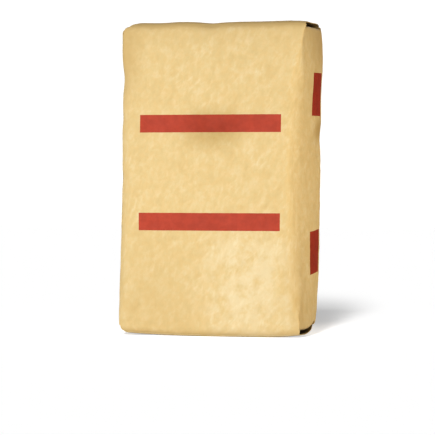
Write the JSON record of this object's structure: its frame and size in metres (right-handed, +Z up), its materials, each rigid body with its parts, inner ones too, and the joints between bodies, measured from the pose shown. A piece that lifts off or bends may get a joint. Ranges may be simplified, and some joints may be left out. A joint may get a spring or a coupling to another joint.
{
  "type": "cement bag",
  "caption": "Filled kraft paper valve sack of cement with folded block ends, standing upright on its bottom end.",
  "frame": {"origin": "on the floor under the middle of the sack's box", "axes": "+Z up the sack's height, -Y out of its printed front, +X towards the side with the valve"},
  "size_m": [0.407, 0.144, 0.65],
  "materials": {
    "kraft_paper": "matt yellow-brown sack kraft, finely crinkled, with brick red printed bands",
    "cement_powder": "fine grey powder",
    "cover_kraft": "matt sack kraft sheet",
    "sleeve_kraft": "plain brown kraft, dusty"
  },
  "bodies": {
    "root": {"paper_sack": "kraft_paper", "cement_fill": "cement_powder", "top_cover_sheet": "cover_kraft", "bottom_cover_sheet": "cover_kraft", "valve_sleeve": "sleeve_kraft"}
  },
  "joints": []
}
